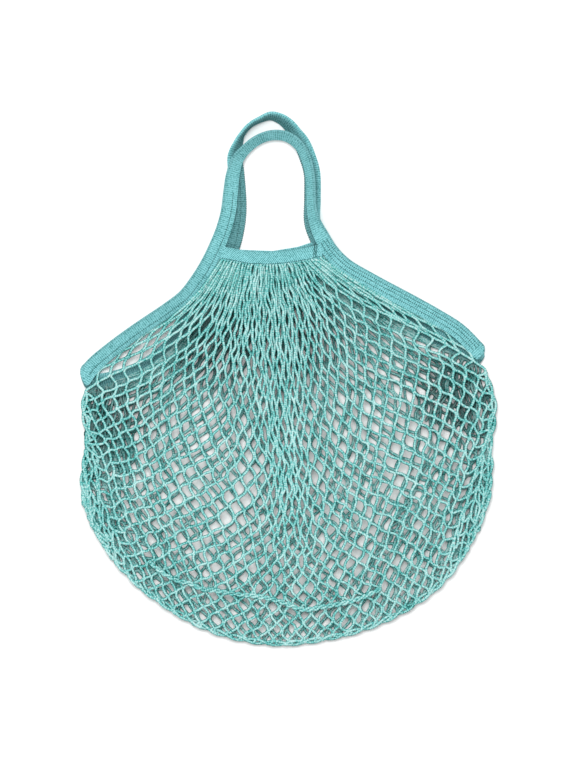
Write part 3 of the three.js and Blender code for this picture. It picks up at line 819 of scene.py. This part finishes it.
def strip_mesh(name, rows, strip_map, width):
    """A closed mesh through rows of points, with a map in metres along it and across it."""
    count, sides = rows.shape[:2]
    grid = np.arange(count * sides).reshape(count, sides)
    here, beside = grid[:-1], np.roll(grid, -1, axis=1)[:-1]
    ahead, slanted = grid[1:], np.roll(grid, -1, axis=1)[1:]
    faces = np.stack([here, ahead, slanted, beside], axis=-1).reshape(-1, 4).tolist()
    faces.append(grid[0].tolist())
    faces.append(grid[-1][::-1].tolist())
    data = bpy.data.meshes.new(name)
    data.from_pydata(rows.reshape(-1, 3).tolist(), [], faces)
    layer = data.uv_layers.new(name="strip")
    spots = np.zeros(len(data.loops), dtype=np.int32)
    data.loops.foreach_get("vertex_index", spots)
    side = np.array(TAPE_SECTION)[spots % sides, 0] * width / 2
    spread = np.stack([strip_map.ravel()[spots], side], axis=1).astype(np.float32)
    layer.data.foreach_set("uv", spread.ravel())
    data.polygons.foreach_set("use_smooth", [True] * len(data.polygons))
    data.validate()
    return add_object(name, data)


def node_material(name, roughness, gloss=0.5):
    """A new material, with its tree and its shader."""
    material = bpy.data.materials.new(name)
    material.use_nodes = True
    shader = material.node_tree.nodes["Principled BSDF"]
    shader.inputs["Roughness"].default_value = roughness
    shader.inputs["Specular IOR Level"].default_value = gloss
    return material, material.node_tree, shader


def ramp_of(tree, stops):
    """A colour ramp through stops, each a place and a colour."""
    ramp = tree.nodes.new("ShaderNodeValToRGB")
    for stop, (place, colour) in zip(ramp.color_ramp.elements, (stops[0], stops[-1])):
        stop.position, stop.color = place, (*colour, 1)
    for place, colour in stops[1:-1]:
        ramp.color_ramp.elements.new(place).color = (*colour, 1)
    return ramp


def total(tree, start, terms):
    """Adds up sockets, each times a weight, to a start value."""
    for socket, weight in terms:
        start = math_value(tree, "MULTIPLY_ADD", socket, weight, start)
    return start


def object_place(tree):
    """The place of a spot on its object."""
    return tree.nodes.new("ShaderNodeTexCoord").outputs["Object"]


def noise(tree, scale):
    """Noise on object coordinates, with its scale per metre, from about 0.3 to 0.7."""
    cloud = tree.nodes.new("ShaderNodeTexNoise")
    cloud.inputs["Scale"].default_value = scale
    cloud.inputs["Detail"].default_value = 1.0
    tree.links.new(object_place(tree), cloud.inputs["Vector"])
    return cloud.outputs["Fac"]


def ripple(tree, socket, pitch):
    """A sine wave of a length, once in each pitch."""
    return math_value(tree, "SINE", math_value(tree, "MULTIPLY", socket, 2 * math.pi / pitch))


def mapped(tree, socket, span, shades):
    """Values that run from the first shade, a number or a socket, to the second over a span."""
    fade = tree.nodes.new("ShaderNodeMapRange")
    labels = ("Value", "From Min", "From Max", "To Min", "To Max")
    for label, value in zip(labels, (socket, *span, *shades)):
        feed(tree, fade.inputs[label], value)
    return fade.outputs["Result"]


def faded(tree, colour, socket, span, shades):
    """Scales a colour by a shade that runs over a span of a socket's values."""
    scale = tree.nodes.new("ShaderNodeVectorMath")
    scale.operation = "SCALE"
    tree.links.new(colour, scale.inputs[0])
    tree.links.new(mapped(tree, socket, span, shades), scale.inputs["Scale"])
    return scale.outputs["Vector"]


def deep_shade(tree, corners, reach, shades):
    """Painted shade of the back wall: the first shade at a spot, the second one past its reach."""
    place = object_place(tree)
    darkest = None
    for x, y in corners:
        away = tree.nodes.new("ShaderNodeVectorMath")
        away.operation = "DISTANCE"
        away.inputs[1].default_value = (float(place_x(x)), float(place_y(y)), 0)
        tree.links.new(place, away.inputs[0])
        shade = mapped(tree, away.outputs["Value"], reach, shades)
        darkest = math_value(tree, "MINIMUM", darkest, shade) if darkest else shade
    return darkest


def place_of(tree, axis):
    """The place of a spot along one axis of the object."""
    split = tree.nodes.new("ShaderNodeSeparateXYZ")
    tree.links.new(object_place(tree), split.inputs[0])
    return split.outputs[axis]


def raise_bump(tree, shader, height, strength, distance):
    """Fine relief on top of the mesh's own."""
    bump = tree.nodes.new("ShaderNodeBump")
    bump.inputs["Strength"].default_value = strength
    bump.inputs["Distance"].default_value = distance
    tree.links.new(height, bump.inputs["Height"])
    tree.links.new(bump.outputs["Normal"], shader.inputs["Normal"])


CORD_LOOP = 2.1 * MM  # length of one knitted loop along a cord
WALE = 1.6 * MM  # distance between two threads across a tape
# Painted shade on the back wall: cords below DEEP_HEIGHTS are darkened, to DEEP_SHADES within DEEP_REACH
# of a spot.
DEEP_REACH = (26 * MM, 62 * MM)  # from a dark corner: where the shade starts and stops to fade
DEEP_SHADES = (0.2, 0.92)
DEEP_HEIGHTS = (2.5 * MM, 6 * MM)  # up to which cords count as the back wall's


def cord_material(net):
    """Knitted cotton cord: painted highlights on its loops and top, painted shade in its grooves, and
    painted shade where it lies deep in the back wall.
    """
    material, tree, shader = node_material("knitted cotton cord", 0.9, 0.0)
    way = tree.nodes.new("ShaderNodeAttribute")
    way.attribute_name = "cord_along"
    loops = ripple(tree, way.outputs["Fac"], CORD_LOOP)
    painted_top_light = tree.nodes.new("ShaderNodeAttribute")
    painted_top_light.attribute_name = "cord_painted_top_light"
    # Painted highlight: the stored upward facing makes the top of each cord lighter and its sides darker.
    height = total(tree, -0.55, (
        (painted_top_light.outputs["Fac"], 0.38), (loops, 0.07),
        (noise(tree, 600), 1.1), (noise(tree, 60), 0.5)))
    ramp = ramp_of(tree, ((0.15, net.dark), (0.45, net.mid), (0.8, net.light)))
    tree.links.new(height, ramp.inputs["Fac"])
    # Painted shade: cords low in the back wall are darker, darkest near the shade spots.
    deep = deep_shade(tree, SHADE_SPOTS, DEEP_REACH, DEEP_SHADES)
    colour = faded(tree, ramp.outputs["Color"], place_of(tree, "Z"), DEEP_HEIGHTS, (deep, 1))
    # The net's colour grows a little lighter towards the bottom fold.
    lower, upper = (float(place_y(y)) for y in (0.1, 0.75))
    colour = faded(tree, colour, place_of(tree, "Y"), (lower, upper), (1.06, 1))
    tree.links.new(colour, shader.inputs["Base Color"])
    raise_bump(tree, shader, height, 0.7, 0.5 * MM)
    return material


def tape_material(tape, name, relief, span, shades, slant):
    """Ribbed cotton tape with fine threads along its map, with painted shade over a span of its width."""
    material, tree, shader = node_material(name, 0.9, 0.15)
    strip = tree.nodes.new("ShaderNodeUVMap")
    strip.uv_map = "strip"
    split = tree.nodes.new("ShaderNodeSeparateXYZ")
    tree.links.new(strip.outputs["UV"], split.inputs[0])
    skewed = total(tree, 0, ((split.outputs["X"], 1), (split.outputs["Y"], slant)))
    ribs = ripple(tree, skewed, tape.rib)
    wales = ripple(tree, split.outputs["Y"], WALE)
    height = total(tree, -0.3, (
        (ribs, relief), (wales, 0.1),
        (noise(tree, 700), 1.4), (noise(tree, 90), 0.3)))
    ramp = ramp_of(tree, ((0.1, tape.dark), (0.5, tape.mid), (0.85, tape.light)))
    tree.links.new(height, ramp.inputs["Fac"])
    # Painted shade: the colour is scaled across the width by the shades over the span.
    tree.links.new(faded(tree, ramp.outputs["Color"], split.outputs["Y"], span, shades),
              shader.inputs["Base Color"])
    raise_bump(tree, shader, height, 0.6, 0.3 * MM)
    return material


def thread_material(tape):
    """Sewing thread, darker than the tape."""
    material, tree, shader = node_material("sewing thread", 0.7)
    ramp = ramp_of(tree, ((0.35, [part * 0.5 for part in tape.dark]), (0.7, tape.dark)))
    tree.links.new(noise(tree, 500), ramp.inputs["Fac"])
    tree.links.new(ramp.outputs["Color"], shader.inputs["Base Color"])
    return material


class BAG_OT_net(bpy.types.Operator):
    """Makes the knitted net from its knots and cords"""

    bl_idname = "string_bag.net"
    bl_label = "Net"

    def execute(self, context):
        net = context.scene.bag_net
        rng = np.random.default_rng(SEED)
        fold_z = 1.5 * NET_THICK + FOLD_GAP
        front_wall = wall(FRONT_TAPE, FRONT_BAND, fold_z)
        front = make_wall(front_wall, FRONT_FLOW, net, rng, front_level, FRONT_LOOSE, 0)
        back_wall = wall(BACK_TAPE, BACK_BAND, fold_z)
        back = make_wall(back_wall, BACK_FLOW, net, rng, back_level, BACK_LOOSE, 1)
        lines = bend_cords(trace_cords(front, back, front_wall, net), net, rng)
        lines += seam_lines(net) + edge_lines(net, fold_z) + bunch_lines(rng)
        cord = cord_material(net)
        tree = cord_tree()
        values = {"Radius": net.cord_radius, "Groove": CORD_GROOVE, "Lay": CORD_LAY, "Material": cord}
        for part in range(CORD_PIECES):
            piece = line_mesh(f"net_cords_{part + 1}", lines[part::CORD_PIECES])
            grow(piece, tree, values)
            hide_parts("net_body")
            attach(piece, "root")
        return {"FINISHED"}


class BAG_OT_tapes(bpy.types.Operator):
    """Makes the two binding tapes and the two bands"""

    bl_idname = "string_bag.tapes"
    bl_label = "Tapes and bands"

    def execute(self, context):
        tape = context.scene.bag_tape
        # Painted shade: the front tape is darker at its outer edge, and the back tape and back band are
        # darker everywhere but their outer edge. The woven band runs from 0.95 at its outer edge to 1.05
        # in its middle.
        front = tape_material(tape, "front ribbed tape", 0.2, (-7.4 * MM, -5 * MM), (0.7, 1.0), 0.0)
        back = tape_material(tape, "back ribbed tape in painted shade", 0.2, (-6 * MM, -2 * MM), (0.95, 0.56), 0.0)
        woven = tape_material(tape, "woven band", 0.42, (-6 * MM, 0), (0.95, 1.05), 0.8)
        rows = (
            ("front_binding_tape", FRONT_TAPE, TAPE_WIDTH, 0.0, True,
             front, "front_handle_binding", "front_tape"),
            ("back_binding_tape", BACK_TAPE, TAPE_WIDTH, 0.0, False,
             back, "back_handle_binding", "back_tape"),
            ("front_gathering_band", FRONT_BAND, BAND_WIDTH, 0.8, None,
             woven, "front_top_band", "band"),
            ("back_gathering_band", BACK_BAND, BAND_WIDTH, 0.8, None,
             back, "back_top_band", "band"),
        )
        for name, strip, width, slant, upper, material, node, slot in rows:
            piece = strip_mesh(name, *strip_rows(strip, width, TAPE_THICK, tape, slant, upper), width)
            piece.data.materials.append(material)
            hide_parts(node)
            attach(piece, "root")
        return {"FINISHED"}


class BAG_OT_stitches(bpy.types.Operator):
    """Sews rows of small stitches along the tapes and bands"""

    bl_idname = "string_bag.stitches"
    bl_label = "Stitches"

    @staticmethod
    def tack(end):
        """A zigzag of thread that holds one end of the front band to the tape."""
        turns = np.arange(14)
        middle = FRONT_BAND["centre"][end] + [(-1 if end else 1) * 6 * MM, 0, TAPE_THICK / 2 + 0.3 * MM]
        aside, ahead = (turns % 2 - 0.5) * 3.4 * MM, (turns / 13 - 0.5) * BAND_WIDTH * 0.9
        return middle + np.stack([aside, ahead, turns * 0], axis=1)

    def execute(self, context):
        tape = context.scene.bag_tape
        lines = []
        for strip, width, place, first, last in (
                (FRONT_TAPE, TAPE_WIDTH, 0.3, 0.01, 0.38), (FRONT_TAPE, TAPE_WIDTH, -0.5, 0.7, 0.99),
                (FRONT_TAPE, TAPE_WIDTH, -0.1, 0.7, 0.99), (FRONT_TAPE, TAPE_WIDTH, 0.4, 0.7, 0.99),
                (BACK_TAPE, TAPE_WIDTH, 0.3, 0.01, 0.99), (FRONT_BAND, BAND_WIDTH, 0.75, 0.02, 0.98),
                (BACK_BAND, BAND_WIDTH, 0.75, 0.02, 0.98)):
            line = (strip["centre"] + strip["across"] * place * width / 2
                    + strip["normal"] * (TAPE_THICK / 2 + STITCH_PROUD))
            lines.append(line[int(len(line) * first):int(len(line) * last):6])
        for strip in (FRONT_TAPE, BACK_TAPE):
            lines.append((strip["centre"] + strip["across"] * (TAPE_WIDTH / 2 + 0.1 * MM))[20:-20:6])
        lines.append(self.tack(-1))
        piece = line_mesh("stitch_rows", lines)
        thread = thread_material(tape)
        grow(piece, stitch_tree(), {"Spacing": tape.stitch, "Size": STITCH_SIZE, "Material": thread})
        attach(piece, "root")
        return {"FINISHED"}


class BAG_OT_stage(bpy.types.Operator):
    """Sets the pale floor, the soft light and the camera straight above"""

    bl_idname = "string_bag.stage"
    bl_label = "Stage"

    def execute(self, context):
        stage = context.scene.bag_stage
        ends = (-FLOOR_REACH, FLOOR_REACH)
        data = bpy.data.meshes.new("pale_floor")
        data.from_pydata([(x, y, 0) for y in ends for x in ends], [], [(0, 1, 3, 2)])
        floor = add_object("pale_floor", data)
        floor.location.z = -FLOOR_DROP
        paint, _, shader = node_material("pale paper", 0.9)
        shader.inputs["Base Color"].default_value = (*[stage.floor_tone] * 3, 1)
        data.materials.append(paint)
        lamp_data = bpy.data.lights.new("soft_lamp", "AREA")
        lamp_data.energy = stage.lamp
        lamp_data.shape = "DISK"
        lamp_data.size = LAMP_SIZE
        lamp = add_object("soft_lamp", lamp_data)
        lamp.location = LAMP_PLACE
        lamp.rotation_euler = LAMP_TURN
        world = bpy.data.worlds.new("even_light")
        world.use_nodes = True
        light = world.node_tree.nodes["Background"].inputs
        light["Color"].default_value = (1, 1, 1, 1)
        light["Strength"].default_value = stage.sky
        context.scene.world = world
        context.scene.view_settings.view_transform = "Standard"
        lens = bpy.data.cameras.new("photo_camera")
        lens.sensor_fit = "VERTICAL"
        lens.sensor_height = FILM_HEIGHT
        lens.lens = stage.lens
        x = ORIGIN_X + (PHOTO_WIDTH / 2 - MIDDLE_COLUMN) * stage.scale
        y = ORIGIN_Y + (FOLD_ROW - PHOTO_HEIGHT / 2) * stage.scale
        away = stage.lens / lens.sensor_height * PHOTO_HEIGHT * stage.scale
        camera = add_object("photo_camera", lens)
        camera.location = (x, y, away + FOCUS_HEIGHT)
        context.scene.camera = camera
        return {"FINISHED"}


class BAG_PT_panel(bpy.types.Panel):
    """Lists the pieces of the bag"""

    bl_label = "String bag"
    bl_space_type = "VIEW_3D"
    bl_region_type = "UI"
    bl_category = "String bag"

    def draw(self, context):
        for operator in OPERATORS:
            self.layout.operator(operator.bl_idname)


GROUPS = (("bag_net", BagNet), ("bag_tape", BagTape), ("bag_stage", BagStage))
OPERATORS = (BAG_OT_stage, BAG_OT_tapes, BAG_OT_stitches, BAG_OT_net)


def register():
    """Adds the bag's classes and properties to Blender."""
    for name, group in GROUPS:
        bpy.utils.register_class(group)
        setattr(bpy.types.Scene, name, PointerProperty(type=group))
    for item in (*OPERATORS, BAG_PT_panel):
        bpy.utils.register_class(item)


def unregister():
    """Takes them out again."""
    for item in (BAG_PT_panel, *reversed(OPERATORS)):
        bpy.utils.unregister_class(item)
    for name, group in reversed(GROUPS):
        delattr(bpy.types.Scene, name)
        bpy.utils.unregister_class(group)


def main():
    """Makes the stage and every piece."""
    register()
    for operator in OPERATORS:
        space, name = operator.bl_idname.split(".")
        getattr(getattr(bpy.ops, space), name)()


if __name__ == "__main__":
    main()
